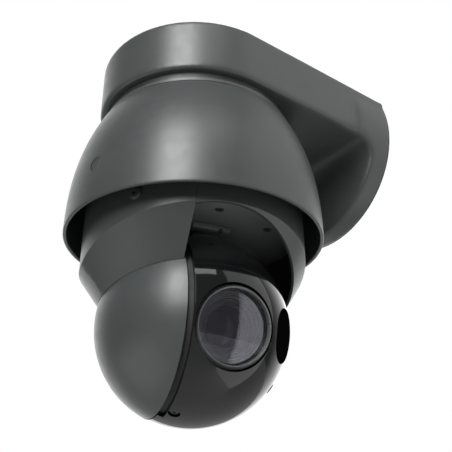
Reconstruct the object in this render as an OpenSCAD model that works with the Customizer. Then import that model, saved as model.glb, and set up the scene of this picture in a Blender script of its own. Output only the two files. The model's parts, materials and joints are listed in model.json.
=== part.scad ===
// Pan-tilt-zoom camera hanging from its own wall arm.
// Frame: +Z up, the wall is the plane y = 0 and the camera stands out along -Y.
// The origin is the middle of the bolt pattern on the wall.

/* [Wall arm] */
// Distance from the wall to the pan axis
wall_reach = 166; // [150:1:190]
// Radius of the arm's round front
arm_r = 89.5; // [88:0.5:96]
// Height of the flat top above the bolt pattern's middle
arm_top_z = 31.5; // [29:0.5:36]
// Height of the arm's side band
arm_h = 51; // [48:1:60]
// Wall thickness of the castings
cast_t = 4; // [3:0.5:5]
// Radius of the round wall flange
flange_r = 92.5; // [90:0.5:98]
// Depth of the flange where it meets the arm's underside
flange_depth = 42; // [40:1:48]
// Thickness of the gasket against the wall
gasket_t = 1.5; // [1:0.5:2]
// Width between the wall bolts
bolt_span_x = 100; // [90:2:110]
// Height between the wall bolts
bolt_span_z = 32; // [28:1:34]
// Radius of each wall bolt hole
bolt_hole_r = 3.3; // [2.8:0.1:3.6]

/* [Bell] */
// Radius of the bell at its open rim
bell_rim_r = 110.5; // [108:0.5:116]
// Radius of the bell at its top edge
bell_top_r = 86.5; // [85:0.5:88]
// Height of the bell
bell_h = 109.5; // [105:0.5:114]
// Wall thickness of the bell
bell_t = 3; // [2:0.25:3.5]
// How late the bell's side turns in: a higher power keeps the rim upright for longer
bell_power = 2.45; // [2:0.05:3]
// Radius of the round plugs in the bell
plug_r = 6; // [4:0.5:8]

/* [Pan housing] */
// Direction in which the camera faces at rest, turned from straight out
pan_rest = 76.4; // [0:0.1:90]
// Radius of the rotating housing
pan_r = 94; // [92:0.5:95]
// Wall thickness of the housing
pan_t = 3; // [2.5:0.25:4]
// Height of the housing's top above the ball's middle
pan_top_h = 142; // [138:1:144]
// Height of the recessed ceiling above the ball's middle
ceiling_h = 84; // [82:0.5:88]

/* [Ball] */
// Height of the ball's middle below the bolt pattern's middle
ball_drop = 214.5; // [212:0.5:220]
// Radius of the ball
ball_r = 78; // [76:0.5:79]
// Tilt of the lens below level at rest
tilt_rest = 14; // [-20:1:90]
// Distance from the ball's middle to the flat side of the arm cap
cap_x = 30.1; // [29:0.1:31]
// Width of the open slot beside the arm cap
slot_w = 4.2; // [3:0.1:6]
// Sideways offset of the lens from the ball's middle
lens_x = 7.6; // [6:0.1:10]
// Radius of the lens bezel
bezel_r = 31; // [28:0.5:31]
// Radius of the lens glass
glass_r = 27.6; // [24:0.2:28]

/* [Hidden] */
$fn = 96;
clear = 0.3;
run_fit = 0.05;
arm_low_z = arm_top_z - arm_h;
ball_z = -ball_drop;
bell_top_z = arm_low_z - 11;
bell_rim_z = bell_top_z - bell_h;
pan_top_z = ball_z + pan_top_h;
far = 400;

// Wall plate, its screws and the cable gland
plate_t = 5;
scoop_r = 20;
bracket_screw_r = 2.5;
bracket_head_r = 4.6;
bracket_head_h = 2.4;
bracket_screw_x = 56;
bracket_screw_y = 14;
tab_w = 14;
tab_h = 8;
gland_r = 10;
gland_z = -30;
gland_bore_r = 3.5;
gland_len = 17;

// Neck, base plate and pan shaft
neck_r = 83.5;
neck_low_z = arm_low_z - 6;
spigot_r = 76;
spigot_t = 6;
shoulder_r = 72;
web_z = neck_low_z + 3;
tube_in_r = 58;
ring_r = 84.2;
ring_h = 2.6;
bell_lip_r = 66;
bell_lip_t = 4;
plug_bore = 40;
base_r = 76;
base_t = 6;
base_z = bell_top_z - bell_lip_t;
base_screw_r = 2.2;
base_screw_at = 61.8;
base_screw_in = 7;
base_head_h = 3;
hub_r = 40;
hub_gap = 1.5;
boss_r = 30;
boss_low_z = base_z - 24;
shaft_r = 14;
shaft_bore_r = 9;
bearing_r = 26;
bearing_h = 10;
pulley_r = 34;
pulley_h = 9;
pulley_z = base_z + 2;
belt_t = 1.6;
belt_w = 6;
pinion_r = 9;
pan_motor_y = 46;
motor_side = 38;
motor_h = 26;
motor_bore = 14;
motor_shaft_r = 2.5;

// Housing openings and screws
opening_low_z = 22;
arch_r = 122;
arch_x = -6.5;
arch_z = -53;
ceiling_t = 3;
ceiling_screw_spots = [[0.9, -53.1], [52.1, -36.1]];
stop_x = -12;
stop_y = -28;
stop_w = 34;
stop_d = 8;
stop_h = 5;
cover_wall = 2;
cover_screw_h = 78;
cover_screw_r = 2;
cap_wall = 2.5;
cap_top_h = 34;

// Tilt arm, bearing and drive
arm_plate_x = 41;
arm_plate_t = 5;
tilt_shaft_r = 10;
tilt_bearing_r = 16;
tilt_pulley_r = 22;
tilt_pinion_r = 7;
tilt_belt_x = 52;
tilt_belt_w = 6;
tilt_motor_x = -58;
tilt_motor_z = 46;
tilt_motor_r = 14;
tilt_motor_len = 22;
tilt_bore = 12;
tilt_stub_r = 2;
tilt_arm_w = 36;

// Head
head_gap = 0.9;
head_x = cap_x - head_gap;
shell_t = 3;
split_y = 20;
slot_end_deg = 68;
slot_x = slot_w - head_x;
seal_in_r = ball_r - 9.4;
block_side = 48;
shelf_t = 3.9;
window_proud = 0.8;
window_r = 18;
window_turn = 49;
head_screw_r = 4;
head_screw_sunk = 2.4;
head_screw_h = 0.9;
head_stem_r = 1.6;
bezel_front = 71;
bezel_chamfer = 4;
barrel_back = 22;
barrel_bore_r = 14;
glass_t = 2.4;

// Boards
board_t = 1.6;
main_post_h = 7;
drive_post_h = 14;
post_r = 2.5;
screw_r = 3.2;

// ---------- Frames ----------

// Pan frame: its -Y is where the camera faces, its -X is the arm side.
module at_pan() {
    translate([0, -wall_reach, 0])
        rotate([0, 0, pan_rest])
            children();
}

module at_ball() {
    at_pan()
        translate([0, 0, ball_z])
            children();
}

// Head frame: the lens looks along -Y.
module at_head() {
    at_ball()
        rotate([tilt_rest, 0, 0])
            children();
}

module at_axis() {
    translate([0, -wall_reach, 0])
        children();
}

// A ring or disc about the pan axis.
module ring(outer, inner, low, high) {
    translate([0, 0, low])
        difference() {
            cylinder(r = outer, h = high - low);
            translate([0, 0, -1])
                cylinder(r = inner, h = high - low + 2);
        }
}

// A cylinder along X from x0 to x1.
module rod_x(r, x0, x1) {
    translate([x0, 0, 0])
        rotate([0, 90, 0])
            cylinder(r = r, h = x1 - x0);
}

// A cylinder that points along -Y from depth y0 to depth y1.
module rod_front(r, y0, y1) {
    translate([0, -y0, 0])
        rotate([90, 0, 0])
            cylinder(r = r, h = y1 - y0);
}

// A round belt loop in the XY plane between two pulleys.
module belt_loop(r1, r2, distance, thickness, width) {
    linear_extrude(width)
        difference() {
            belt_outline(r1 + thickness, r2 + thickness, distance);
            belt_outline(r1, r2, distance);
        }
}

module belt_outline(r1, r2, distance) {
    hull() {
        circle(r = r1, $fn = 48);
        translate([distance, 0])
            circle(r = r2, $fn = 48);
    }
}

// ---------- Wall arm ----------

module arm_plan(r) {
    circle(r = r);
    translate([-r, 0])
        square([2 * r, wall_reach]);
}

// Flange seen along Y: a disc cut flat at the arm's top.
module flange_outline(r, top) {
    intersection() {
        circle(r = r);
        translate([-far / 2, -far])
            square([far, far + top]);
    }
}

// Side profile of the flange: deep under the arm, then a scoop down to a thinner disc.
module flange_profile(inset) {
    low = -flange_r - 1;
    scoop_z = arm_low_z - scoop_r;
    difference() {
        translate([-flange_depth + inset, low])
            square([flange_depth - inset - gasket_t, arm_top_z - low]);
        translate([-flange_depth, scoop_z])
            circle(r = scoop_r + inset);
        translate([-flange_depth - 1, low - 1])
            square([scoop_r + inset + 1, scoop_z - low + 1]);
    }
}

module flange_solid(r, top, inset) {
    intersection() {
        rotate([90, 0, 0])
            linear_extrude(far / 2)
                flange_outline(r, top);
        rotate([90, 0, 90])
            translate([0, 0, -far / 2])
                linear_extrude(far)
                    flange_profile(inset);
    }
}

module bracket() {
    color("#4a4e4d")
        difference() {
            union() {
                at_axis()
                    translate([0, 0, arm_low_z])
                        linear_extrude(arm_h)
                            intersection() {
                                arm_plan(arm_r);
                                translate([-far / 2, -far / 2])
                                    square([far, far / 2 + wall_reach - gasket_t]);
                            }
                flange_solid(flange_r, arm_top_z, 0);
            }
            at_axis()
                translate([0, 0, arm_low_z + cast_t])
                    linear_extrude(arm_h - 2 * cast_t)
                        arm_plan(arm_r - cast_t);
            flange_solid(flange_r - cast_t, arm_top_z - cast_t, cast_t);
            translate([0, 1, 0])
                rotate([90, 0, 0])
                    linear_extrude(plate_t + 2)
                        flange_outline(flange_r - cast_t, arm_top_z - cast_t);
            at_axis()
                translate([0, 0, arm_low_z - 1])
                    cylinder(r = spigot_r + 1, h = cast_t + 2);
            bracket_screw_places() {
                translate([0, 0, -cast_t])
                    cylinder(r = bracket_screw_r + 0.2, h = 2 * cast_t);
                translate([0, 0, -bracket_head_h])
                    cylinder(r = bracket_head_r + clear, h = bracket_head_h + 1);
            }
        }
}

// The two screws that pin the arm to the wall plate, seen from the arm's flat top.
module bracket_screw_places() {
    for (side = [-1, 1])
        translate([side * bracket_screw_x, -bracket_screw_y, arm_top_z])
            children();
}

module wall_plate() {
    r = flange_r - cast_t - clear;
    top = arm_top_z - cast_t - clear;
    color("#8d9091")
        difference() {
            union() {
                rotate([90, 0, 0])
                    linear_extrude(plate_t)
                        flange_outline(r, top);
                bracket_screw_places()
                    translate([-tab_w / 2, -tab_w / 2, -cast_t - clear - tab_h])
                        cube([tab_w, tab_w / 2 + bracket_screw_y - plate_t + 1, tab_h]);
            }
            for (x = [-1, 1], z = [-1, 1])
                translate([x * bolt_span_x / 2, 1, z * bolt_span_z / 2])
                    rotate([90, 0, 0])
                        cylinder(r = bolt_hole_r, h = plate_t + 2);
            translate([0, 1, gland_z])
                rotate([90, 0, 0])
                    cylinder(r = gland_r, h = plate_t + 2);
            bracket_screw_places()
                translate([0, 0, -cast_t - clear - tab_h - 1])
                    cylinder(r = bracket_screw_r, h = tab_h + 2);
        }
}
module wall_gasket() {
    color("#151515")
        rotate([90, 0, 0])
            linear_extrude(gasket_t)
                difference() {
                    flange_outline(flange_r - 1, arm_top_z - 1);
                    flange_outline(flange_r - cast_t, arm_top_z - cast_t);
                }
}

module bracket_screws() {
    stem = cast_t + tab_h;
    color("#3a3c3c")
        bracket_screw_places()
            difference() {
                union() {
                    translate([0, 0, -bracket_head_h])
                        cylinder(r = bracket_head_r, h = bracket_head_h - 0.2);
                    translate([0, 0, -stem])
                        cylinder(r = bracket_screw_r, h = stem - bracket_head_h + 0.1);
                }
                translate([0, 0, -bracket_head_h + 0.7])
                    cylinder(r = 1.7, h = bracket_head_h, $fn = 6);
            }
}

module cable_gland() {
    color("#202122")
        translate([0, 0, gland_z])
            difference() {
                union() {
                    rod_front(gland_r, 0, plate_t);
                    rod_front(gland_r + 3, plate_t, plate_t + 4);
                    rod_front(gland_r - 2, plate_t + 4, gland_len);
                }
                rod_front(gland_bore_r, -1, gland_len + 1);
            }
}

// ---------- Fixed neck, bell and base ----------

module neck() {
    color("#2c2e2e")
        at_axis()
            difference() {
                union() {
                    ring(neck_r, spigot_r - spigot_t, neck_low_z, arm_low_z - clear / 3);
                    ring(spigot_r, spigot_r - spigot_t, arm_low_z - 1, arm_low_z + cast_t + 3);
                    ring(shoulder_r, tube_in_r, bell_top_z, web_z);
                    ring(bell_lip_r - clear, tube_in_r, base_z, bell_top_z + 1);
                }
                base_screw_places()
                    translate([0, 0, base_z - 1])
                        cylinder(r = base_screw_r, h = base_screw_in + 2);
            }
}

module collar_ring() {
    color("#7b807f")
        at_axis()
            ring(ring_r, shoulder_r + 2, neck_low_z - ring_h, neck_low_z);
}

// Outer radius of the bell at a height: upright at the rim, turning in towards the top.
function bell_r(z) =
    bell_rim_r - (bell_rim_r - bell_top_r) * pow((z - bell_rim_z) / bell_h, bell_power);
function bell_side(inset, steps) = [
    for (i = [0:steps])
        let(z = bell_rim_z + bell_h * i / steps)
            [bell_r(z) - inset, z],
];

module bell() {
    steps = 24;
    color("#4f5352")
        at_axis()
            difference() {
                rotate_extrude($fn = 180)
                    polygon(concat(
                        bell_side(0, steps),
                        [[bell_lip_r, bell_top_z]],
                        [[bell_lip_r, bell_top_z - bell_lip_t]],
                        bell_inner(steps)
                    ));
                bell_plug_places()
                    rotate([0, 90, 0])
                        cylinder(r = plug_r + clear / 2, h = plug_bore, center = true);
            }
}
function bell_inner(steps) = [
    for (i = [0:steps])
        let(z = bell_top_z - bell_lip_t - (bell_h - bell_lip_t) * i / steps)
            [bell_r(z) - bell_t, z],
];

plug_z = ball_z + 107.6;
module bell_plug_places() {
    for (turn = [-79.3, 100.7])
        rotate([0, 0, turn])
            translate([bell_r(plug_z), 0, plug_z])
                children();
}

module bell_plugs() {
    color("#3f4242")
        at_axis()
            bell_plug_places()
                rotate([0, 90, 0])
                    translate([0, 0, -bell_t])
                        difference() {
                            cylinder(r = plug_r, h = bell_t - 0.8);
                            translate([0, 0, bell_t - 2])
                                cylinder(r = 2, h = 3, $fn = 6);
                        }
}

module base_plate() {
    color("#9a9d9d")
        at_axis()
            difference() {
                union() {
                    translate([0, 0, base_z - base_t])
                        cylinder(r = base_r, h = base_t);
                    translate([0, 0, boss_low_z])
                        cylinder(r = boss_r, h = base_z - base_t - boss_low_z + 1);
                }
                translate([0, 0, boss_low_z - 1])
                    cylinder(r = bearing_r, h = bearing_h + 1);
                translate([0, 0, boss_low_z - 1])
                    cylinder(r = shaft_r + 2, h = far);
                base_screw_places()
                    translate([0, 0, base_z - base_t - 1])
                        cylinder(r = base_screw_r, h = base_t + 2);
            }
}

module base_screw_places() {
    for (turn = [30:60:330])
        rotate([0, 0, turn])
            translate([base_screw_at, 0, 0])
                children();
}

module base_screws() {
    color("#8c8f90")
        at_axis()
            base_screw_places() {
                translate([0, 0, base_z - base_t - base_head_h])
                    difference() {
                        cylinder(r = 4, h = base_head_h);
                        translate([0, 0, -1])
                            cylinder(r = 1.7, h = 2.4, $fn = 6);
                    }
                translate([0, 0, base_z - base_t - 0.1])
                    cylinder(r = base_screw_r, h = base_t + base_screw_in + 0.1);
            }
}

module pan_bearing() {
    mid = (bearing_r + shaft_r) / 2;
    color("#b9bcbd")
        at_axis()
            translate([0, 0, boss_low_z])
                difference() {
                    cylinder(r = bearing_r, h = bearing_h);
                    translate([0, 0, -1])
                        cylinder(r = shaft_r + run_fit, h = bearing_h + 2);
                    translate([0, 0, -1])
                        difference() {
                            cylinder(r = mid + 1.5, h = 2);
                            cylinder(r = mid - 1.5, h = 2);
                        }
                }
}

module pan_motor() {
    color("#2a2b2d")
        at_axis()
            translate([0, pan_motor_y, web_z])
                difference() {
                    translate([-motor_side / 2, -motor_side / 2, 0])
                        cube([motor_side, motor_side, motor_h]);
                    translate([0, 0, -1])
                        cylinder(r = motor_shaft_r + run_fit, h = motor_bore + 1);
                }
}

module pan_belt() {
    color("#161616")
        at_axis()
            rotate([0, 0, 90])
                translate([0, 0, pulley_z + 1.5])
                    belt_loop(pulley_r + clear, pinion_r + clear, pan_motor_y, belt_t, belt_w);
}

module pan_pinion() {
    color("#c2c4c5")
        at_axis()
            translate([0, pan_motor_y, 0]) {
                translate([0, 0, pulley_z])
                    cylinder(r = pinion_r, h = pulley_h);
                translate([0, 0, pulley_z + pulley_h - 0.1])
                    cylinder(r = motor_shaft_r, h = web_z + motor_bore - 2 - pulley_z - pulley_h);
            }
}

module slip_ring() {
    top = pulley_z + pulley_h + 3;
    leg_y = -tube_in_r + 2;
    color("#55585a")
        at_axis() {
            translate([0, 0, boss_low_z + 6])
                cylinder(r = shaft_bore_r - 1, h = top - boss_low_z - 6);
            translate([0, 0, top])
                cylinder(r = 16, h = 5);
            translate([-4, leg_y, top + 1])
                cube([8, -leg_y, 3]);
            translate([-4, leg_y, base_z])
                cube([8, 8, top + 2 - base_z]);
        }
}

module main_board() {
    color("#1f5a3c")
        translate([0, 0, arm_low_z + cast_t + main_post_h]) {
            translate([-40, -88, 0])
                cube([80, 36, board_t]);
            translate([4, -80, board_t])
                cube([20, 20, 2.4]);
            difference() {
                translate([-34, -82, board_t])
                    cube([16, 16, 12]);
                translate([-32, -83, 4])
                    cube([12, 5, 8]);
            }
            for (x = [-35, 35], y = [-84, -56])
                translate([x, y, -main_post_h])
                    cylinder(r = post_r, h = main_post_h);
        }
}

// ---------- Rotating housing ----------

module pan_shaft() {
    low = pan_top_z + clear / 3;
    color("#b4b7b8")
        at_axis()
            difference() {
                union() {
                    translate([0, 0, low])
                        cylinder(r = hub_r, h = boss_low_z - low - hub_gap);
                    translate([0, 0, low])
                        cylinder(r = shaft_r, h = pulley_z + pulley_h - low);
                }
                translate([0, 0, low - 1])
                    cylinder(r = shaft_bore_r, h = far);
            }
}

module pan_pulley() {
    color("#d0d2d2")
        at_axis()
            difference() {
                translate([0, 0, pulley_z])
                    cylinder(r = pulley_r, h = pulley_h);
                translate([0, 0, pulley_z - 1])
                    cylinder(r = shaft_r, h = pulley_h + 2);
            }
}

// Housing outside, in the ball's frame: an upright drum, a cone below it, and a second
// cone set back from the lens that lifts the front edge.
cone_z = 0.535 * ball_r;
cone_low_z = 0.1 * ball_r;
cone_slope = 0.71;
front_cone_back = 0.24 * ball_r;
front_cone_r = 1.08 * ball_r;
front_cone_z = 0.3 * ball_r;
front_cone_slope = 0.62;

module housing_form(inset) {
    top = pan_top_h - inset;
    intersection() {
        rotate_extrude($fn = 180)
            polygon([
                [0, cone_low_z],
                [pan_r - (cone_z - cone_low_z) * cone_slope - inset, cone_low_z],
                [pan_r - inset, cone_z],
                [pan_r - inset, top],
                [0, top],
            ]);
        translate([0, front_cone_back, cone_low_z - 1])
            cylinder(
                r1 = front_cone_r - (front_cone_z - cone_low_z + 1) * front_cone_slope - inset,
                r2 = front_cone_r + (top - front_cone_z) * front_cone_slope - inset,
                h = top - cone_low_z + 1,
                $fn = 180
            );
    }
}

cover_top_h = 100;
cover_x = 31.5;

// The block of space that the side cover fills.
module cover_space(gap) {
    translate([-far, -far / 2, -far / 2])
        cube([far - cover_x + gap, far, far / 2 + cover_top_h + gap]);
}

// The opening for the ball: one wide arch, cut off at the side cover.
module front_opening() {
    intersection() {
        translate([arch_x, 0, arch_z])
            rod_front(arch_r, 0, far / 2);
        translate([-cover_x - 2, -far, -far])
            cube([far, 2 * far, 2 * far]);
    }
}

module pan_housing() {
    color("#454948")
        at_ball()
            difference() {
                housing_form(0);
                housing_form(pan_t);
                sphere(r = ball_r + 2, $fn = 180);
                translate([0, 0, -far / 2 + opening_low_z])
                    cube([far, far, far], center = true);
                front_opening();
                cover_space(clear / 2);
                translate([0, 0, pan_top_h - pan_t - 1])
                    cylinder(r = shaft_bore_r, h = pan_t + 2);
            }
}

module side_cover() {
    color("#4a4e4d")
        at_ball()
            difference() {
                intersection() {
                    housing_form(0);
                    cover_space(-clear / 2);
                }
                difference() {
                    housing_form(pan_t);
                    translate([-cover_x - cover_wall, -far / 2, 0])
                        cube([cover_wall, far, ceiling_h - clear / 3]);
                }
                sphere(r = ball_r + clear, $fn = 180);
                cover_screw_places()
                    cylinder(r = cover_screw_r, h = 20, center = true);
            }
}

module cover_screw_places() {
    for (turn = [-138.4, 138.4])
        rotate([0, 0, turn])
            translate([pan_r, 0, cover_screw_h])
                rotate([0, 90, 0])
                    children();
}

module button_screw(head_r, head_h, stem_r, stem_len) {
    difference() {
        union() {
            intersection() {
                translate([0, 0, head_h - head_r * 1.3])
                    sphere(r = head_r * 1.3);
                cylinder(r = head_r, h = head_h);
            }
            translate([0, 0, -stem_len])
                cylinder(r = stem_r, h = stem_len + 0.2);
        }
        translate([0, 0, head_h * 0.4])
            cylinder(r = head_r * 0.42, h = head_h, $fn = 6);
    }
}

module cover_screws() {
    color("#2b2d2d")
        at_ball()
            cover_screw_places()
                button_screw(5, 3, cover_screw_r, 8);
}

module ceiling_screw_places() {
    for (spot = ceiling_screw_spots)
        translate([spot[0], spot[1], ceiling_h])
            children();
}

module ceiling_plate() {
    color("#2f3131")
        at_ball()
            difference() {
                union() {
                    intersection() {
                        translate([0, 0, ceiling_h])
                            cylinder(r = pan_r - pan_t - clear, h = ceiling_t);
                        translate([-cover_x - 2, -far / 2, 0])
                            cube([far, far, far]);
                    }
                    translate([0, 0, ceiling_h + ceiling_t])
                        difference() {
                            ring(60, 57, 0, pan_top_h - pan_t - ceiling_h - ceiling_t - clear);
                            translate([-far - cover_x - 2, -far / 2, -1])
                                cube([far, far, far]);
                        }
                }
                ceiling_screw_places()
                    cylinder(r = 2, h = 20, center = true);
                ceiling_screw_places()
                    translate([0, 0, -1])
                        cylinder(r = screw_r + 0.8, h = 2.2);
            }
}

module ceiling_screws() {
    color("#3c3e3e")
        at_ball()
            ceiling_screw_places()
                translate([0, 0, 1.1])
                    mirror([0, 0, 1])
                        difference() {
                            union() {
                                cylinder(r = screw_r, h = 1);
                                translate([0, 0, -7])
                                    cylinder(r = 1.95, h = 7.1);
                            }
                            translate([0, 0, 0.4])
                                cylinder(r = 1.3, h = 2, $fn = 6);
                        }
}

// End stop for the tilt, with the notch that its wiring runs through.
module stop_block() {
    low = ceiling_h - stop_h;
    color("#3a3d3d")
        at_ball()
            difference() {
                translate([stop_x, stop_y, low])
                    cube([stop_w, stop_d, stop_h - clear / 3]);
                translate([stop_x + stop_w * 0.7, stop_y - 1, low - 1])
                    cube([3, stop_d + 2, stop_h - 1]);
                sphere(r = ball_r + 1);
            }
}

// ---------- Tilt arm and drive ----------

module tilt_arm() {
    plate_x = -arm_plate_x;
    root_z = pan_top_h - pan_t - clear / 3;
    w = tilt_arm_w;
    shelf_z = tilt_motor_z + tilt_motor_r + 8;
    color("#a4a7a8")
        at_ball()
            difference() {
                union() {
                    rod_x(tilt_bearing_r + 4, plate_x - 2, plate_x + arm_plate_t + 3);
                    translate([plate_x, -w / 2, 0])
                        cube([arm_plate_t, w, root_z]);
                    translate([tilt_motor_x, -w / 2, shelf_z])
                        cube([plate_x - tilt_motor_x + 1, w, 4]);
                    translate([tilt_motor_x, -w / 2, shelf_z - 40])
                        cube([3, w, 41]);
                    translate([plate_x, -w / 2, root_z - 4])
                        cube([26, w, 4]);
                }
                rod_x(tilt_bearing_r, -far / 4, plate_x + arm_plate_t);
                rod_x(tilt_shaft_r + 2, -far / 4, 0);
                translate([0, 0, tilt_motor_z])
                    rod_x(tilt_pinion_r + 2, tilt_motor_x - 1, tilt_motor_x + 4);
            }
}

module arm_cap() {
    side = -cap_x - cap_wall;
    color("#565a59")
        at_ball()
            difference() {
                intersection() {
                    sphere(r = ball_r, $fn = 180);
                    translate([-far - cap_x, -far / 2, -far / 2])
                        cube([far, far, far]);
                }
                intersection() {
                    sphere(r = ball_r - shell_t, $fn = 180);
                    translate([-far + side, -far / 2, -far / 2])
                        cube([far, far, far]);
                }
                translate([-far + side, -far / 2, cap_top_h])
                    cube([far, far, far]);
                translate([0, 0, tilt_motor_z])
                    rod_x(tilt_motor_r + 1, -ball_r - 1, tilt_motor_x + 1);
                rod_x(tilt_shaft_r + 1, side - 1, 0);
            }
}

module tilt_bearing() {
    low = -arm_plate_x - 2;
    high = -arm_plate_x + arm_plate_t;
    color("#b9bcbd")
        at_ball()
            difference() {
                rod_x(tilt_bearing_r, low, high);
                rod_x(tilt_shaft_r + run_fit, low - 1, high + 1);
            }
}

module tilt_motor() {
    color("#2a2b2d")
        at_ball()
            translate([0, 0, tilt_motor_z])
                difference() {
                    rod_x(tilt_motor_r, tilt_motor_x - tilt_motor_len, tilt_motor_x);
                    rod_x(tilt_stub_r + run_fit, tilt_motor_x - tilt_bore, tilt_motor_x + 1);
                }
}

module tilt_belt() {
    color("#161616")
        at_ball()
            translate([-tilt_belt_x, 0, 0])
                rotate([0, -90, 0])
                    mirror([0, 0, 1])
                        belt_loop(
                            tilt_pulley_r + clear,
                            tilt_pinion_r + clear,
                            tilt_motor_z,
                            belt_t,
                            tilt_belt_w - 1
                        );
}

module tilt_pinion() {
    color("#c2c4c5")
        at_ball()
            translate([0, 0, tilt_motor_z]) {
                rod_x(tilt_pinion_r, -tilt_belt_x, -tilt_belt_x + tilt_belt_w);
                rod_x(tilt_stub_r, tilt_motor_x - tilt_bore + 1, -tilt_belt_x + 0.1);
            }
}

module drive_board() {
    color("#1f5a3c")
        at_ball()
            translate([0, 0, pan_top_h - pan_t - clear / 3 - drive_post_h]) {
                translate([-8, -32, -board_t])
                    cube([50, 64, board_t]);
                translate([10, -18, -board_t - 3])
                    cube([18, 18, 3]);
                for (x = [-3, 37], y = [-27, 27])
                    translate([x, y, 0])
                        cylinder(r = post_r, h = drive_post_h);
            }
}

// ---------- Tilting head ----------

module tilt_shaft() {
    color("#b4b7b8")
        at_head()
            union() {
                rod_x(tilt_shaft_r, -54, -head_x + 3);
                rod_x(18, -head_x + 0.1, -head_x + 3);
            }
}

module tilt_pulley() {
    color("#d0d2d2")
        at_head()
            difference() {
                rod_x(tilt_pulley_r, -tilt_belt_x, -tilt_belt_x + tilt_belt_w);
                rod_x(tilt_shaft_r, -tilt_belt_x - 1, -tilt_belt_x + tilt_belt_w + 1);
            }
}

module head_frame() {
    low = -head_x + 3.1;
    color("#8f9293")
        at_head()
            difference() {
                union() {
                    rod_x(seal_in_r - clear / 3, low, low + 3);
                    translate([low + 2, -30, -block_side / 2 - shelf_t - 0.1])
                        cube([54, 62, shelf_t]);
                }
                translate([lens_x, 0, 0])
                    rod_front(bezel_r + 1, barrel_back - 0.1, far / 4);
            }
}

// The head's wall, one ball inside another, between two distances along the tilt axis.
module head_shell(outer, inner, low, high) {
    rotate([0, 90, 0])
        rotate_extrude($fn = 180)
            intersection() {
                difference() {
                    circle(r = outer, $fn = 180);
                    circle(r = inner, $fn = 180);
                }
                translate([0, low])
                    square([far, high - low]);
            }
}

// What closes the slot beside the arm cap, low on the front and round underneath.
module slot_end() {
    intersection() {
        head_shell(ball_r, ball_r - shell_t, -head_x, slot_x);
        rotate([slot_end_deg, 0, 0])
            translate([-far / 2, -far / 2, -far])
                cube([far, far, far]);
    }
}

module head_screw_places() {
    for (place = [[-20.4, 59.4], [56.8, 49.3]])
        rotate([place[1], 0, 0])
            rotate([0, 0, asin(place[0] / ball_r)])
                translate([0, -ball_r, 0])
                    rotate([90, 0, 0])
                        children();
}

module front_cover() {
    color("#0b0c0d")
        at_head() {
            difference() {
                slot_end();
                translate([0, far / 2 + split_y, 0])
                    cube([far, far, far], center = true);
            }
            difference() {
                head_shell(ball_r, ball_r - shell_t, slot_x, far);
                translate([0, far / 2 + split_y, 0])
                    cube([far, far, far], center = true);
                translate([lens_x, 0, 0])
                    rod_front(bezel_r + 1, 30, far / 4);
                head_screw_places() {
                    translate([0, 0, -head_screw_sunk])
                        cylinder(r = head_screw_r + 0.6, h = 10);
                    cylinder(r = head_stem_r + 0.2, h = 20, center = true);
                }
                side_window_place()
                    side_window_form(0.4, 24);
            }
        }
}

module rear_shell() {
    color("#3c3f3f")
        at_head()
            difference() {
                head_shell(ball_r, ball_r - shell_t, -head_x, far);
                translate([0, -far / 2 + split_y + clear / 2, 0])
                    cube([far, far, far], center = true);
            }
}

module slot_seal() {
    color("#101010")
        at_head()
            difference() {
                intersection() {
                    sphere(r = ball_r - shell_t - clear / 3, $fn = 180);
                    rod_x(ball_r, -head_x, -head_x + slot_w + 2);
                }
                rod_x(seal_in_r, -far / 2, far / 2);
                translate([lens_x, 0, 0])
                    rod_front(bezel_r + clear / 3, 30, far / 4);
            }
}

module head_screws() {
    color("#4a4c4c")
        at_head()
            head_screw_places()
                translate([0, 0, -head_screw_sunk])
                    difference() {
                        union() {
                            cylinder(r = head_screw_r, h = head_screw_h);
                            translate([0, 0, -6])
                                cylinder(r = head_stem_r, h = 6.1);
                        }
                        translate([0, 0, 0.3])
                            cylinder(r = 1.3, h = 2, $fn = 6);
                    }
}

// Oval window on the side away from the arm.
module side_window_place() {
    rotate([0, 0, window_turn])
        translate([0, -ball_r, 0])
            rotate([90, 0, 0])
                children();
}

module side_window_form(grow, depth) {
    half = 3;
    r = window_r + grow;
    translate([0, 0, -depth / 2])
        linear_extrude(depth) {
            translate([0, half])
                circle(r = r);
            translate([0, -half])
                circle(r = r);
            translate([-r, -half])
                square([2 * r, 2 * half]);
        }
}

module side_window() {
    color("#1a1b1c")
        at_head()
            intersection() {
                head_shell(ball_r + window_proud, ball_r - shell_t + 0.4, -head_x, far);
                side_window_place()
                    side_window_form(0, 24);
            }
}

module lens_bezel() {
    color("#5a5d5e")
        at_head()
            translate([lens_x, 0, 0])
                rotate([90, 0, 0])
                    rotate_extrude()
                        polygon([
                            [glass_r + 0.1, 40],
                            [bezel_r, 40],
                            [bezel_r, bezel_front - bezel_chamfer],
                            [glass_r + 1, bezel_front],
                            [glass_r + 0.1, bezel_front],
                        ]);
}

module lens_glass() {
    color("#20242c")
        at_head()
            translate([lens_x, 0, 0])
                rod_front(glass_r, bezel_front - 0.6 - glass_t, bezel_front - 0.6);
}

module lens_barrel() {
    color("#141516")
        at_head()
            translate([lens_x, 0, 0])
                rotate([90, 0, 0])
                    rotate_extrude()
                        polygon([
                            [barrel_bore_r, barrel_back],
                            [glass_r, barrel_back],
                            [glass_r, bezel_front - 3.1],
                            [glass_r - 2, bezel_front - 3.1],
                            [glass_r - 2, bezel_front - 9],
                            [barrel_bore_r, barrel_back + 20],
                        ]);
}

module front_element() {
    color("#3a3350")
        at_head()
            translate([lens_x, 0, 0])
                rotate([90, 0, 0])
                    intersection() {
                        translate([0, 0, bezel_front - 54])
                            sphere(r = 44);
                        translate([0, 0, bezel_front - 18])
                            cylinder(r = 20, h = 14);
                    }
}

module inner_element() {
    color("#2b2a33")
        at_head()
            translate([lens_x, 0, 0])
                rod_front(barrel_bore_r - 0.1, barrel_back + 2, barrel_back + 18);
}

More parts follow.
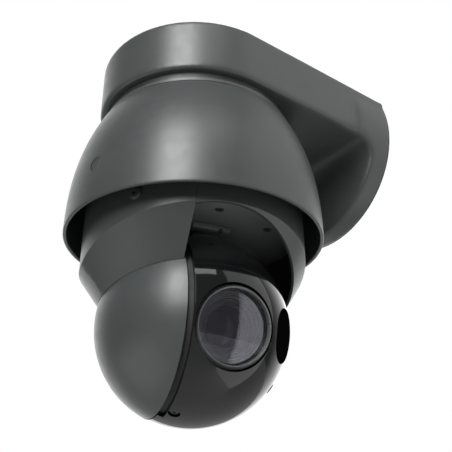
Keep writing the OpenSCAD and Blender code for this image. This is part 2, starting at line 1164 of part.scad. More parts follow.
module zoom_block() {
    color("#1c1d1f")
        at_head()
            translate([lens_x - block_side / 2, -21.9, -block_side / 2])
                cube([block_side, 54, block_side]);
}

module sensor_board() {
    color("#1f5a3c")
        at_head()
            translate([lens_x - 22, 32.1 + clear / 3, -22])
                cube([44, board_t, 44]);
}

bracket();
wall_plate();
wall_gasket();
bracket_screws();
cable_gland();
neck();
collar_ring();
bell();
bell_plugs();
base_plate();
base_screws();
pan_bearing();
pan_motor();
pan_belt();
slip_ring();
main_board();
pan_pinion();
pan_shaft();
pan_pulley();
pan_housing();
side_cover();
cover_screws();
ceiling_plate();
ceiling_screws();
stop_block();
tilt_arm();
arm_cap();
tilt_bearing();
tilt_motor();
tilt_belt();
drive_board();
tilt_pinion();
tilt_shaft();
tilt_pulley();
head_frame();
front_cover();
rear_shell();
slot_seal();
head_screws();
side_window();
lens_bezel();
lens_glass();
lens_barrel();
front_element();
inner_element();
zoom_block();
sensor_board();
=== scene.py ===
"""Pan, tilt and zoom security camera under its wall arm: the visual model around the CAD frame."""

import json
import math

import bmesh
import bpy
from mathutils import Matrix, Vector


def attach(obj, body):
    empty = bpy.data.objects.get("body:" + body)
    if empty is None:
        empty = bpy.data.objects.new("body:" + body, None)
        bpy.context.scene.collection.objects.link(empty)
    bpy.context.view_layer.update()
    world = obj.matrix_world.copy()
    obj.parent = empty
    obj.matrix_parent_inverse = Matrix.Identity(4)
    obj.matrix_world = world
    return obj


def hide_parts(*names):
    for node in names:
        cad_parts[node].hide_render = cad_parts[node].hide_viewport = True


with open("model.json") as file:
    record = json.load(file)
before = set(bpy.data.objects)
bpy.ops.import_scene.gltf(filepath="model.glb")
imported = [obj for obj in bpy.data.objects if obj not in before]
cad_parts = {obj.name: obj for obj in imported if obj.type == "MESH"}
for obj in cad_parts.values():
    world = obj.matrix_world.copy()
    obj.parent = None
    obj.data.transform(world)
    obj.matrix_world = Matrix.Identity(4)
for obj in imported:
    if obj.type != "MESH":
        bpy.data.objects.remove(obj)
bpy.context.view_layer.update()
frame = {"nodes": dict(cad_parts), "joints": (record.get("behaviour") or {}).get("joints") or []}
MM = 0.001

# ---------- Places, from the CAD frame ----------

JOINTS = {joint["name"]: joint for joint in frame["joints"]}
BALL = Vector(JOINTS["tilt"]["pos_m"])
PAN_AXIS = Vector((BALL.x, BALL.y, 0.0))
PAN_REST = math.radians(76.4)
TILT_REST = math.radians(14.0)
BALL_R = 78.0

AT_AXIS = Matrix.Translation(PAN_AXIS)
AT_BALL = Matrix.Translation(BALL) @ Matrix.Rotation(PAN_REST, 4, "Z")
AT_HEAD = AT_BALL @ Matrix.Rotation(TILT_REST, 4, "X")


# ---------- Camera and lights ----------

CAMERA_PLACE = (0.43838, -0.45906, -0.38782)
CAMERA_TURN, CAMERA_RISE = 53.263, -26.938
CAMERA_LENS = 54.009
BRIGHT_SIDE = (-0.77, 0.58, 0.26)
DIM_LIGHT, BRIGHT_LIGHT = 0.21, 2.7
SOFTBOXES = {
    # name: azimuth, elevation, distance, width, height, radiance
    "side_softbox": (131, 0, 1.5, 1.7, 5.2, 0.9),
    "front_softbox": (39, 33, 1.3, 0.48, 0.95, 15.0),
    "low_fill": (-20, -42, 1.6, 1.6, 1.2, 0.85),
    "corner_softbox": (74, 53, 1.2, 0.40, 0.26, 3.0),
}


def outwards(azimuth, elevation):
    """The direction out from the ball; azimuth 0 is along -Y, 90 is +X."""
    a, e = math.radians(azimuth), math.radians(elevation)
    return Vector((math.sin(a) * math.cos(e), -math.cos(a) * math.cos(e), math.sin(e)))


def place_camera():
    data = bpy.data.cameras.new("camera")
    data.sensor_width = 36.0
    data.lens = CAMERA_LENS
    data.clip_start = 0.01
    data.clip_end = 30.0
    camera = bpy.data.objects.new("camera", data)
    bpy.context.collection.objects.link(camera)
    back = outwards(CAMERA_TURN, CAMERA_RISE)
    camera.location = CAMERA_PLACE
    camera.rotation_euler = (-back).to_track_quat("-Z", "Y").to_euler()
    bpy.context.scene.camera = camera
    bpy.context.scene.view_settings.view_transform = "Standard"


def softbox(name, azimuth, elevation, distance, width, height, radiance):
    """A flat light that faces the ball."""
    away = outwards(azimuth, elevation)
    data = bpy.data.lights.new(name, "AREA")
    data.shape = "RECTANGLE"
    data.size, data.size_y = width, height
    data.energy = radiance * math.pi * width * height
    light = bpy.data.objects.new(name, data)
    bpy.context.collection.objects.link(light)
    light.location = BALL + away * distance
    light.rotation_euler = away.to_track_quat("Z", "Y").to_euler()


def set_world():
    """White behind the object; as a light, dim with one bright side."""
    world = bpy.data.worlds.new("studio")
    world.use_nodes = True
    bpy.context.scene.world = world
    nodes, links = world.node_tree.nodes, world.node_tree.links
    nodes.clear()
    out = nodes.new("ShaderNodeOutputWorld")
    seen = nodes.new("ShaderNodeBackground")
    seen.inputs["Color"].default_value = (1, 1, 1, 1)
    lit = nodes.new("ShaderNodeBackground")
    where = nodes.new("ShaderNodeTexCoord")
    towards = nodes.new("ShaderNodeVectorMath")
    towards.operation = "DOT_PRODUCT"
    towards.inputs[1].default_value = BRIGHT_SIDE
    ramp = nodes.new("ShaderNodeMapRange")
    ramp.inputs["From Min"].default_value = 0.38
    ramp.inputs["From Max"].default_value = 0.95
    ramp.inputs["To Min"].default_value = DIM_LIGHT
    ramp.inputs["To Max"].default_value = BRIGHT_LIGHT
    links.new(where.outputs["Generated"], towards.inputs[0])
    links.new(towards.outputs["Value"], ramp.inputs["Value"])
    links.new(ramp.outputs["Result"], lit.inputs["Strength"])
    path = nodes.new("ShaderNodeLightPath")
    mix = nodes.new("ShaderNodeMixShader")
    links.new(path.outputs["Is Camera Ray"], mix.inputs["Fac"])
    links.new(lit.outputs[0], mix.inputs[1])
    links.new(seen.outputs[0], mix.inputs[2])
    links.new(mix.outputs[0], out.inputs["Surface"])


def set_studio():
    set_world()
    for name, light in SOFTBOXES.items():
        softbox(name, *light)


# ---------- Materials ----------


def new_material(name):
    mat = bpy.data.materials.new(name)
    mat.use_nodes = True
    nodes = mat.node_tree.nodes
    nodes.clear()
    out = nodes.new("ShaderNodeOutputMaterial")
    shader = nodes.new("ShaderNodeBsdfPrincipled")
    mat.node_tree.links.new(shader.outputs["BSDF"], out.inputs["Surface"])
    return mat, nodes, mat.node_tree.links, shader


def noise(nodes, links, scale, detail=3.0, stretch=None):
    """Noise over the piece's own coordinates, in cycles per metre."""
    where = nodes.new("ShaderNodeTexCoord")
    tex = nodes.new("ShaderNodeTexNoise")
    tex.inputs["Scale"].default_value = scale
    tex.inputs["Detail"].default_value = detail
    if stretch:
        shape = nodes.new("ShaderNodeMapping")
        shape.inputs["Scale"].default_value = stretch
        links.new(where.outputs["Object"], shape.inputs["Vector"])
        links.new(shape.outputs["Vector"], tex.inputs["Vector"])
    else:
        links.new(where.outputs["Object"], tex.inputs["Vector"])
    return tex.outputs["Fac"]


def ramp_value(nodes, links, source, low, high, start=0.3, end=0.7):
    ramp = nodes.new("ShaderNodeMapRange")
    ramp.inputs["From Min"].default_value = start
    ramp.inputs["From Max"].default_value = end
    ramp.inputs["To Min"].default_value = low
    ramp.inputs["To Max"].default_value = high
    links.new(source, ramp.inputs["Value"])
    return ramp.outputs["Result"]


def ramp_colour(nodes, links, source, dark, light, start=0.3, end=0.7):
    ramp = nodes.new("ShaderNodeValToRGB")
    ramp.color_ramp.elements[0].position = start
    ramp.color_ramp.elements[0].color = (*dark, 1)
    ramp.color_ramp.elements[1].position = end
    ramp.color_ramp.elements[1].color = (*light, 1)
    links.new(source, ramp.inputs["Fac"])
    return ramp.outputs["Color"]


def bump(nodes, links, shader, height, strength, depth):
    node = nodes.new("ShaderNodeBump")
    node.inputs["Strength"].default_value = strength
    node.inputs["Distance"].default_value = depth
    links.new(height, node.inputs["Height"])
    links.new(node.outputs["Normal"], shader.inputs["Normal"])


def grained(name, colour, spread, rough, rough_spread, grain=1400.0, relief=0.12,
            depth=0.00006, metallic=0.0, specular=0.5, cloud=30.0):
    """A coat or moulding: cloudy tone, fine grain in the surface, uneven gloss."""
    mat, nodes, links, shader = new_material(name)
    shader.inputs["Metallic"].default_value = metallic
    shader.inputs["Specular IOR Level"].default_value = specular
    tone = noise(nodes, links, cloud, 4.0)
    dark = tuple(c * (1 - spread) for c in colour)
    light = tuple(c * (1 + spread) for c in colour)
    links.new(ramp_colour(nodes, links, tone, dark, light), shader.inputs["Base Color"])
    gloss = noise(nodes, links, cloud * 4.0, 5.0)
    links.new(
        ramp_value(nodes, links, gloss, rough - rough_spread, rough + rough_spread),
        shader.inputs["Roughness"],
    )
    bump(nodes, links, shader, noise(nodes, links, grain, 2.0), relief, depth)
    return mat


def turned_metal(name, colour, rough, stretch):
    """Metal with fine tool marks drawn out along one direction."""
    mat, nodes, links, shader = new_material(name)
    shader.inputs["Metallic"].default_value = 1.0
    marks = noise(nodes, links, 60.0, 6.0, stretch)
    dark = tuple(c * 0.82 for c in colour)
    links.new(ramp_colour(nodes, links, marks, dark, colour), shader.inputs["Base Color"])
    links.new(ramp_value(nodes, links, marks, rough - 0.07, rough + 0.1),
              shader.inputs["Roughness"])
    bump(nodes, links, shader, marks, 0.2, 0.00005)
    return mat


def glossy_cover():
    mat, nodes, links, shader = new_material("gloss_black")
    shader.inputs["IOR"].default_value = 1.5
    tone = noise(nodes, links, 25.0, 3.0)
    links.new(ramp_colour(nodes, links, tone, (0.004, 0.0043, 0.0045), (0.006, 0.0064, 0.0066)),
              shader.inputs["Base Color"])
    haze = noise(nodes, links, 90.0, 6.0)
    links.new(ramp_value(nodes, links, haze, 0.05, 0.09), shader.inputs["Roughness"])
    bump(nodes, links, shader, noise(nodes, links, 220.0, 1.0), 0.02, 0.00003)
    return mat


def clear_glass(name, coat, body, ior=1.7):
    """Coated glass: the coat tints what it reflects, the body what it lets through."""
    mat, nodes, links, shader = new_material(name)
    shader.inputs["IOR"].default_value = ior
    shader.inputs["Transmission Weight"].default_value = 1.0
    shader.inputs["Specular Tint"].default_value = (*coat, 1)
    tint = noise(nodes, links, 18.0, 2.0)
    dark = tuple(c * 0.94 for c in body)
    links.new(ramp_colour(nodes, links, tint, dark, body), shader.inputs["Base Color"])
    haze = noise(nodes, links, 50.0, 2.0)
    links.new(ramp_value(nodes, links, haze, 0.0, 0.004), shader.inputs["Roughness"])
    return mat


def coated_element():
    mat, nodes, links, shader = new_material("coated_element")
    shader.inputs["IOR"].default_value = 1.45
    shader.inputs["Coat Weight"].default_value = 0.35
    shader.inputs["Coat Roughness"].default_value = 0.02
    shader.inputs["Coat Tint"].default_value = (0.75, 0.6, 0.85, 1)
    tone = noise(nodes, links, 60.0, 2.0)
    links.new(ramp_colour(nodes, links, tone, (0.004, 0.004, 0.006), (0.010, 0.006, 0.012)),
              shader.inputs["Base Color"])
    links.new(ramp_value(nodes, links, tone, 0.03, 0.07), shader.inputs["Roughness"])
    return mat


def green_board():
    mat, nodes, links, shader = new_material("board_green")
    where = nodes.new("ShaderNodeTexCoord")
    tracks = nodes.new("ShaderNodeTexVoronoi")
    tracks.feature = "DISTANCE_TO_EDGE"
    tracks.inputs["Scale"].default_value = 260.0
    links.new(where.outputs["Object"], tracks.inputs["Vector"])
    links.new(ramp_colour(nodes, links, tracks.outputs["Distance"], (0.02, 0.11, 0.045),
                          (0.008, 0.06, 0.026), 0.02, 0.08), shader.inputs["Base Color"])
    links.new(ramp_value(nodes, links, tracks.outputs["Distance"], 0.25, 0.45, 0.02, 0.1),
              shader.inputs["Roughness"])
    bump(nodes, links, shader, tracks.outputs["Distance"], 0.2, 0.0001)
    return mat


HOUSING_GREY = grained("housing_grey", (0.041, 0.0455, 0.0445), 0.05, 0.38, 0.03)
CAP_GREY = grained("cap_grey", (0.047, 0.052, 0.051), 0.05, 0.38, 0.03)
GLOSS_BLACK = glossy_cover()
SOFT_BLACK = grained("soft_black", (0.012, 0.0125, 0.013), 0.15, 0.5, 0.06, 900.0, 0.2)
SEAL_RUBBER = grained("seal_rubber", (0.010, 0.010, 0.0105), 0.2, 0.7, 0.08, 700.0, 0.3)
BELT_RUBBER = grained("belt_rubber", (0.014, 0.014, 0.014), 0.2, 0.62, 0.08, 500.0, 0.35)
COLLAR_METAL = grained("collar_metal", (0.05, 0.053, 0.053), 0.06, 0.42, 0.05, 1200.0, 0.1)
CAST_ALLOY = grained("cast_alloy", (0.24, 0.245, 0.25), 0.10, 0.45, 0.08, 600.0, 0.3, 0.0001,
                     metallic=1.0, cloud=45.0)
MACHINED = turned_metal("machined_steel", (0.55, 0.56, 0.57), 0.25, (1.0, 1.0, 14.0))
SCREW_DARK = grained("screw_dark", (0.045, 0.048, 0.049), 0.12, 0.32, 0.06, 1500.0, 0.15,
                     metallic=0.25, cloud=150.0)
SCREW_BRIGHT = turned_metal("screw_bright", (0.52, 0.53, 0.54), 0.3, (1.0, 1.0, 5.0))
MOTOR_BLACK = grained("motor_black", (0.018, 0.018, 0.019), 0.12, 0.38, 0.06, 800.0, 0.2)
BOARD_GREEN = green_board()
LENS_GLASS = clear_glass("lens_glass", (0.90, 0.90, 1.0), (0.78, 0.78, 0.82))
LENS_ELEMENT = coated_element()
# Near-black with no specular: the side window's own black, and also painted shade inside the two
# screw recesses.
WINDOW_BLACK_AND_RECESS_SHADE = grained("sensor_window", (0.002, 0.002, 0.0022), 0.2, 0.6, 0.05, 300.0, 0.03,
                        specular=0.0)
# A copy of the housing grey about four times lighter: painted light on the ceiling and tilt stop,
# in place of the light that falls on them from below.
CEILING_PAINTED_LIGHT_GREY = grained("ceiling_painted_light_grey", (0.17, 0.178, 0.177), 0.06, 0.46, 0.05)
BEZEL_SATIN = grained("bezel_satin", (0.085, 0.089, 0.091), 0.08, 0.3, 0.04, 1800.0, 0.08)
TUBE_BLACK = grained("tube_black", (0.030, 0.028, 0.033), 0.12, 0.34, 0.05, 1600.0, 0.04)
SECOND_GLASS = clear_glass("second_glass", (0.7, 0.6, 0.9), (0.70, 0.68, 0.74), 1.2)

NODE_FINISH = {
    "bracket": HOUSING_GREY, "wall_plate": CAST_ALLOY, "wall_gasket": SEAL_RUBBER,
    "bracket_screws": SCREW_DARK, "cable_gland": SOFT_BLACK, "neck": SOFT_BLACK,
    "collar_ring": COLLAR_METAL, "bell": HOUSING_GREY, "bell_plugs": SCREW_DARK,
    "base_plate": CAST_ALLOY, "base_screws": SCREW_BRIGHT, "pan_bearing": MACHINED,
    "pan_motor": MOTOR_BLACK, "pan_belt": BELT_RUBBER, "slip_ring": SOFT_BLACK,
    "main_board": BOARD_GREEN, "pan_pinion": MACHINED, "pan_shaft": MACHINED,
    "pan_pulley": CAST_ALLOY, "pan_housing": HOUSING_GREY, "side_cover": HOUSING_GREY,
    "cover_screws": SCREW_DARK, "ceiling_plate": SOFT_BLACK, "ceiling_screws": SCREW_DARK,
    "stop_block": SOFT_BLACK, "tilt_arm": CAST_ALLOY, "arm_cap": CAP_GREY,
    "tilt_bearing": MACHINED, "tilt_motor": MOTOR_BLACK, "tilt_belt": BELT_RUBBER,
    "drive_board": BOARD_GREEN, "tilt_pinion": MACHINED, "tilt_shaft": MACHINED,
    "tilt_pulley": CAST_ALLOY, "head_frame": CAST_ALLOY, "front_cover": GLOSS_BLACK,
    "rear_shell": HOUSING_GREY, "slot_seal": SEAL_RUBBER, "head_screws": SCREW_DARK,
    "side_window": WINDOW_BLACK_AND_RECESS_SHADE, "lens_bezel": SOFT_BLACK, "lens_glass": LENS_GLASS,
    "lens_barrel": SOFT_BLACK, "front_element": LENS_ELEMENT, "inner_element": LENS_ELEMENT,
    "zoom_block": MOTOR_BLACK, "sensor_board": BOARD_GREEN,
}


def finish_nodes():
    for name, mat in NODE_FINISH.items():
        mesh = frame["nodes"][name].data
        mesh.materials.clear()
        mesh.materials.append(mat)


# ---------- Modelling, as by hand ----------


def put_down():
    """Leaves edit mode with nothing selected."""
    if bpy.context.object and bpy.context.object.mode != "OBJECT":
        bpy.ops.object.mode_set(mode="OBJECT")
    bpy.ops.object.select_all(action="DESELECT")


def pick_up(obj):
    put_down()
    obj.select_set(True)
    bpy.context.view_layer.objects.active = obj


def edit(obj):
    pick_up(obj)
    bpy.ops.object.mode_set(mode="EDIT")
    bpy.ops.mesh.select_all(action="SELECT")


def close_up():
    """Joins seams and turns the faces outwards."""
    bpy.ops.mesh.select_all(action="SELECT")
    bpy.ops.mesh.remove_doubles(threshold=0.001 * MM)
    bpy.ops.mesh.normals_make_consistent(inside=False)
    bpy.ops.object.mode_set(mode="OBJECT")


def smooth(obj, degrees=32.0):
    pick_up(obj)
    bpy.ops.object.shade_smooth_by_angle(angle=math.radians(degrees))


def modify(obj, kind, **settings):
    """Adds a modifier, sets it and applies it."""
    pick_up(obj)
    mod = obj.modifiers.new(kind.lower(), kind)
    for key, value in settings.items():
        setattr(mod, key, value)
    bpy.ops.object.modifier_apply(modifier=mod.name)


def settle(obj, place):
    """Moves a piece to its place and leaves its object at the origin."""
    pick_up(obj)
    obj.matrix_world = place
    bpy.ops.object.transform_apply(location=True, rotation=True, scale=True)


def hand_over(obj, name, body, mat, *nodes):
    """Names a finished piece, paints it and lets it ride and stand for its CAD nodes."""
    obj.name = name
    obj.data.name = name
    obj.data.materials.clear()
    obj.data.materials.append(mat)
    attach(obj, body)
    if nodes:
        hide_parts(*nodes)


def turned(stops, turns=128, place=None):
    """A round piece drawn out through (radius, height) stops in millimetres, about its own Z."""
    put_down()
    r0, z0 = stops[0]
    bpy.ops.mesh.primitive_circle_add(vertices=turns, radius=r0 * MM, location=(0, 0, z0 * MM))
    obj = bpy.context.object
    bpy.ops.object.transform_apply(location=True, rotation=True, scale=True)
    bpy.ops.object.mode_set(mode="EDIT")
    bpy.ops.mesh.select_all(action="SELECT")
    for (ra, za), (rb, zb) in zip(stops, stops[1:]):
        bpy.ops.mesh.extrude_edges_move(
            TRANSFORM_OT_translate={"value": (0, 0, (zb - za) * MM)}
        )
        k = rb / ra
        bpy.ops.transform.resize(value=(k, k, 1), center_override=(0, 0, zb * MM))
    close_up()
    settle(obj, place or Matrix.Identity(4))
    return obj


def closed(stops):
    """The same stops, ending at the first, so that they draw a ring."""
    return stops + [stops[0]]


def capped(stops, turns, place=None):
    """A solid round piece: its stops end next to the axis, and the two holes there are filled."""
    obj = turned(stops, turns)
    edit(obj)
    bpy.ops.mesh.fill_holes(sides=0)
    close_up()
    settle(obj, place or Matrix.Identity(4))
    return obj


def merged_copy(node, flat_angle):
    """A copy of a CAD node with its points merged and flat faces joined, left in edit mode."""
    source = frame["nodes"][node]
    obj = source.copy()
    obj.data = source.data.copy()
    bpy.context.collection.objects.link(obj)
    obj.parent = None
    edit(obj)
    bpy.ops.mesh.remove_doubles(threshold=0.002 * MM)
    bpy.ops.mesh.dissolve_limited(angle_limit=math.radians(flat_angle))
    return obj


def eased(node, width, segments=2, angle=28.0):
    """A copy of a CAD node with its edges softened."""
    obj = merged_copy(node, 0.3)
    bpy.ops.object.mode_set(mode="OBJECT")
    if obj.data.has_custom_normals:
        bpy.ops.mesh.customdata_custom_splitnormals_clear()
    modify(obj, "BEVEL", width=width * MM, segments=segments, limit_method="ANGLE",
           angle_limit=math.radians(angle), use_clamp_overlap=True, miter_outer="MITER_ARC")
    smooth(obj)
    modify(obj, "WEIGHTED_NORMAL", keep_sharp=True, weight=60)
    return obj


def cut_with(obj, tool):
    modify(obj, "BOOLEAN", operation="DIFFERENCE", solver="EXACT", object=tool)
    bpy.data.objects.remove(tool)


def peg(radius, low, high, place, sides=48):
    """A plain cutter along its own Z, between two heights in millimetres."""
    put_down()
    bpy.ops.mesh.primitive_cylinder_add(
        vertices=sides, radius=radius * MM, depth=(high - low) * MM,
        location=(0, 0, (low + high) / 2 * MM),
    )
    tool = bpy.context.object
    bpy.ops.object.transform_apply(location=True, rotation=True, scale=True)
    settle(tool, place)
    return tool


def joined(objs):
    pick_up(objs[0])
    for other in objs[1:]:
        other.select_set(True)
    bpy.ops.object.join()
    return bpy.context.object


def turn_z(degrees):
    return Matrix.Rotation(math.radians(degrees), 4, "Z")


def turn_x(degrees):
    return Matrix.Rotation(math.radians(degrees), 4, "X")


def turn_y(degrees):
    return Matrix.Rotation(math.radians(degrees), 4, "Y")


def move(x, y, z):
    return Matrix.Translation((x * MM, y * MM, z * MM))


def socket_screw(head_r, head_h, socket_r, socket_depth, place, low=0.0, crown=0.35):
    """A screw head on its own Z: rounded crown, hexagon socket."""
    rim = head_h * (1 - crown)
    stops = [
        (0.02, low), (head_r * 0.94, low), (head_r, low + head_h * 0.12),
        (head_r, low + rim * 0.55),
        (head_r * 0.985, low + rim * 0.85), (head_r * 0.93, low + rim + head_h * crown * 0.45),
        (head_r * 0.82, low + head_h * 0.93), (head_r * 0.66, low + head_h), (0.02, low + head_h),
    ]
    obj = capped(stops, 40)
    top = low + head_h
    cut_with(obj, peg(socket_r, top - socket_depth, top + 1, Matrix.Identity(4), 6))
    settle(obj, place)
    smooth(obj, 34)
    return obj


# ---------- Wall arm ----------

ARM_LOW = -19.5
ARM_TOP = 31.5
ARM_R = 89.5
WALL_GAP = 3.0
LOW_EDGE, TOP_EDGE = 3.2, 1.8
CASTING_GRAIN = 1.55


def fade(value, start, end):
    """0 before start, 1 after end."""
    return min(1.0, max(0.0, (value - start) / (end - start)))


def on_outline(x, y, reach):
    """True on the arm's outer side, from its round front back to a distance off the wall."""
    front = PAN_AXIS.y / MM
    side = math.hypot(x, y - front) if y < front else abs(x)
    return side > ARM_R - 0.3 and y < -reach


def pick_edges(obj, height, reach):
    """Selects the outline's edges at one height, in edit mode."""
    mesh = bmesh.from_edit_mesh(obj.data)
    bpy.ops.mesh.select_mode(type="EDGE")
    bpy.ops.mesh.select_all(action="DESELECT")
    for edge in mesh.edges:
        ends = [v.co / MM for v in edge.verts]
        level = all(abs(end.z - height) < 0.05 for end in ends)
        edge.select_set(level and all(on_outline(end.x, end.y, reach) for end in ends))
    bmesh.update_edit_mesh(obj.data)


def arm_casting():
    """The casting: its flange runs into the arm's side and underside with no step."""
    obj = merged_copy("bracket", 0.2)
    pick_edges(obj, ARM_LOW, 35)
    bpy.ops.mesh.bevel(offset=LOW_EDGE * MM, segments=5, affect="EDGES", clamp_overlap=False)
    pick_edges(obj, ARM_TOP, 0)
    bpy.ops.mesh.bevel(offset=TOP_EDGE * MM, segments=3, affect="EDGES", clamp_overlap=False)
    bpy.ops.object.mode_set(mode="OBJECT")
    modify(obj, "REMESH", mode="VOXEL", voxel_size=CASTING_GRAIN * MM, adaptivity=0.0)
    group = obj.vertex_groups.new(name="soft")
    for v in obj.data.vertices:
        x, y, z = (c / MM for c in v.co)
        off_wall = fade(-y, WALL_GAP, WALL_GAP + 5)
        flange = fade(y, -75, -52) * fade(ARM_TOP - z, 1, 5)
        round_front = 0.15 * fade(-y, 100, 140)
        group.add([v.index], off_wall * max(flange, round_front, 0.06), "REPLACE")
    modify(obj, "SMOOTH", factor=0.5, iterations=56, vertex_group="soft")
    smooth(obj, 60)
    hand_over(obj, "arm_casting", "wall_mount", HOUSING_GREY, "bracket")


# ---------- Bell ----------

BELL_RIM_Z, BELL_TOP_Z = -140.0, -30.5
BELL_RIM_R, BELL_TOP_R = 110.5, 86.5
BELL_POWER = 2.45
BELL_T = 3.0
PLUG_TURNS = (-79.3, 100.7)
PLUG_Z = -106.9


def bell_radius(z):
    k = (z - BELL_RIM_Z) / (BELL_TOP_Z - BELL_RIM_Z)
    return BELL_RIM_R - (BELL_RIM_R - BELL_TOP_R) * k ** BELL_POWER


def plug_place(turn):
    return AT_AXIS @ turn_z(turn) @ move(bell_radius(PLUG_Z), 0, PLUG_Z) @ turn_y(90)


def bell_shell():
    low, top = BELL_RIM_Z, BELL_TOP_Z
    rim = [(107.5, low + 1.3), (107.8, low + 0.5), (108.5, low), (109.6, low), (110.2, low + 0.3),
           (110.45, low + 0.9)]
    steps = 30
    heights = [low + 2 + (top - 3.2 - low) * i / steps for i in range(steps + 1)]
    side = [(bell_radius(z), z) for z in heights]
    shoulder = [(87.0, top - 0.55), (86.4, top - 0.12), (85.4, top)]
    inside = [(bell_radius(z) - BELL_T, z) for z in reversed(heights) if z < top - 5]
    stops = rim + side + shoulder + [(66.0, top), (66.0, top - 4), (82.0, top - 4)] + inside
    obj = turned(closed(stops), 160, AT_AXIS)
    for turn in PLUG_TURNS:
        cut_with(obj, peg(6.15, -8, 8, plug_place(turn)))
    smooth(obj, 40)
    hand_over(obj, "bell_shell", "wall_mount", HOUSING_GREY, "bell")


def bell_plugs():
    stops = [(0.02, -3.0), (5.9, -3.0), (6.0, -2.8), (6.0, -1.1), (5.7, -0.75), (5.2, -0.7),
             (4.6, -1.0), (2.5, -1.15), (0.02, -1.2)]
    obj = joined([capped(stops, 48, plug_place(turn)) for turn in PLUG_TURNS])
    smooth(obj, 40)
    hand_over(obj, "bell_plug_pair", "wall_mount", HOUSING_GREY, "bell_plugs")


# ---------- Rotating housing ----------


def cover_screw_pair():
    heads = [
        socket_screw(5, 3, 2.1, 1.7, AT_BALL @ turn_z(turn) @ move(94, 0, 78) @ turn_y(90), -0.3)
        for turn in (-138.4, 138.4)
    ]
    hand_over(joined(heads), "cover_screw_pair", "pan_unit", SCREW_DARK, "cover_screws")


def ceiling_screw_pair():
    heads = [
        socket_screw(3.2, 1.0, 1.3, 0.6, AT_BALL @ move(x, y, 85.1) @ turn_x(180), 0.0, 0.5)
        for x, y in ((0.9, -53.1), (52.1, -36.1))
    ]
    hand_over(joined(heads), "ceiling_screw_pair", "pan_unit", SCREW_DARK,
              "ceiling_screws")


HOUSING_PIECES = (
    # CAD node, piece, edge in millimetres, steps in the edge, finish
    ("pan_housing", "housing_drum", 1.4, 3, HOUSING_GREY),
    ("side_cover", "housing_side_cover", 0.6, 2, HOUSING_GREY),
    # The ceiling and the tilt stop take the lighter grey: painted light.
    ("ceiling_plate", "housing_ceiling", 0.4, 2, CEILING_PAINTED_LIGHT_GREY),
    ("stop_block", "tilt_stop", 1.2, 3, CEILING_PAINTED_LIGHT_GREY),
    ("arm_cap", "ball_cap", 0.6, 2, CAP_GREY),
)


def housing_pieces():
    for node, name, edge, steps, mat in HOUSING_PIECES:
        hand_over(eased(node, edge, steps), name, "pan_unit", mat, node)


# ---------- Head ----------

LENS_X = 7.6
LENS_FRONT = 71.0
AT_LENS = AT_HEAD @ move(LENS_X, 0, 0) @ turn_x(90)
HEAD_SCREWS = ((-20.4, 59.4), (56.8, 49.3))
HEAD_PIECES = (
    # CAD node, piece, edge in millimetres, steps in the edge, finish
    ("front_cover", "ball_front", 0.35, 2, GLOSS_BLACK),
    ("rear_shell", "ball_rear", 0.5, 2, HOUSING_GREY),
    ("side_window", "window_lens", 0.5, 3, WINDOW_BLACK_AND_RECESS_SHADE),
)


def head_screw_place(side, down):
    """A place on the ball, so many millimetres to the side and degrees down from its front."""
    lean = math.degrees(math.asin(side / BALL_R))
    return AT_HEAD @ turn_x(down) @ turn_z(lean) @ move(0, -BALL_R, 0) @ turn_x(90)


def head_screw_pair():
    heads = [
        socket_screw(4, 0.9, 1.5, 0.6, head_screw_place(side, down), -2.4, 0.5)
        for side, down in HEAD_SCREWS
    ]
    hand_over(joined(heads), "head_screw_pair", "head", SCREW_DARK, "head_screws")


def painted_shade_screw_cups():
    """Near-black sleeves with no specular that line the two screw recesses: painted shade on the
    recess walls.
    """
    stops = [(4.55, -2.38), (4.55, -0.35), (4.45, -0.22), (4.3, -0.22), (4.2, -0.35), (4.2, -2.38)]
    # Painted shade: the sleeves darken the recess walls.
    cups = [turned(closed(stops), 48, head_screw_place(side, down)) for side, down in HEAD_SCREWS]
    obj = joined(cups)
    smooth(obj, 40)
    hand_over(obj, "screw_recess_painted_shade", "head", WINDOW_BLACK_AND_RECESS_SHADE)


def head_shells():
    for node, name, edge, steps, mat in HEAD_PIECES:
        hand_over(eased(node, edge, steps), name, "head", mat, node)


def lens_ring():
    f = LENS_FRONT
    stops = [(31.0, 40), (31.0, f - 4.6), (30.9, f - 4.1), (30.55, f - 3.6), (29.0, f - 0.9),
             (28.6, f - 0.35), (28.2, f - 0.05), (27.9, f - 0.15), (27.7, f - 0.5), (27.7, 40)]
    obj = turned(closed(stops), 128, AT_LENS)
    smooth(obj, 28)
    hand_over(obj, "lens_ring", "head", BEZEL_SATIN, "lens_bezel")


def dome(edge_r, edge_depth, rise, steps=9):
    """Stops of a shallow dome, from its edge in to the axis."""
    stops = []
    for i in range(steps):
        r = edge_r * (1 - i / steps)
        stops.append((r, edge_depth + rise * (1 - (r / edge_r) ** 2)))
    stops.append((0.02, edge_depth + rise))
    return stops


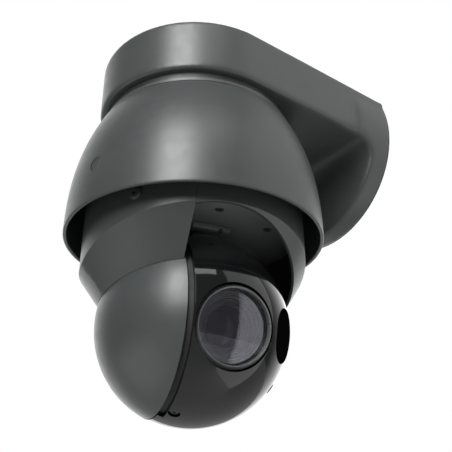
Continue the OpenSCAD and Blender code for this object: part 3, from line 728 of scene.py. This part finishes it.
def solid_lens(name, mat, edge_r, edge_depth, thick, rise, sag, nodes):
    """A lens with a domed front and a back that is flat or hollowed by sag."""
    front = dome(edge_r, edge_depth, rise)
    back = [(r, z - thick) for r, z in dome(edge_r, edge_depth, sag)]
    obj = capped(list(reversed(back)) + front, 96, AT_LENS)
    smooth(obj, 45)
    hand_over(obj, name, "head", mat, *nodes)


def lens_tube():
    f = LENS_FRONT
    steps = [(27.6, 22), (27.6, f - 4.4), (26.6, f - 4.4), (26.2, f - 4.9), (26.0, f - 6.4),
             (24.6, f - 6.6), (24.4, f - 9.0), (22.9, f - 9.2), (22.6, f - 12.0), (20.9, f - 12.2),
             (20.6, f - 15.0), (18.4, f - 15.3), (18.0, f - 18.0), (15.2, f - 18.4),
             (14.4, f - 19.2), (14.0, f - 21.0), (14.0, 22)]
    obj = turned(closed(steps), 128, AT_LENS)
    smooth(obj, 25)
    hand_over(obj, "lens_tube", "head", TUBE_BLACK, "lens_barrel")


def lens_pieces():
    lens_ring()
    lens_tube()
    f = LENS_FRONT
    solid_lens("front_glass", LENS_GLASS, 27.5, f - 4.3, 1.8, 3.6, 2.6, ("lens_glass",))
    solid_lens("second_glass", SECOND_GLASS, 20.4, f - 13.6, 2.2, 3.4, 0.2, ("front_element",))
    solid_lens("inner_glass", LENS_ELEMENT, 13.8, f - 25.0, 4.0, 3.2, 0.0, ("inner_element",))


# ---------- The object ----------

place_camera()
set_studio()
finish_nodes()
arm_casting()
bell_shell()
bell_plugs()
cover_screw_pair()
ceiling_screw_pair()
housing_pieces()
head_shells()
head_screw_pair()
painted_shade_screw_cups()
lens_pieces()

# ---------- Floor ----------

FLOOR_SIZE, FLOOR_Z = 16.0, -2.7


def floor():
    bpy.ops.object.select_all(action="DESELECT")
    bpy.ops.mesh.primitive_plane_add(size=FLOOR_SIZE, location=(0, 0, FLOOR_Z))
    plane = bpy.context.object
    plane.name = "floor"
    plane.data.materials.append(grained("floor_paint", (0.82, 0.82, 0.81), 0.02, 0.7, 0.05, 60.0))


floor()
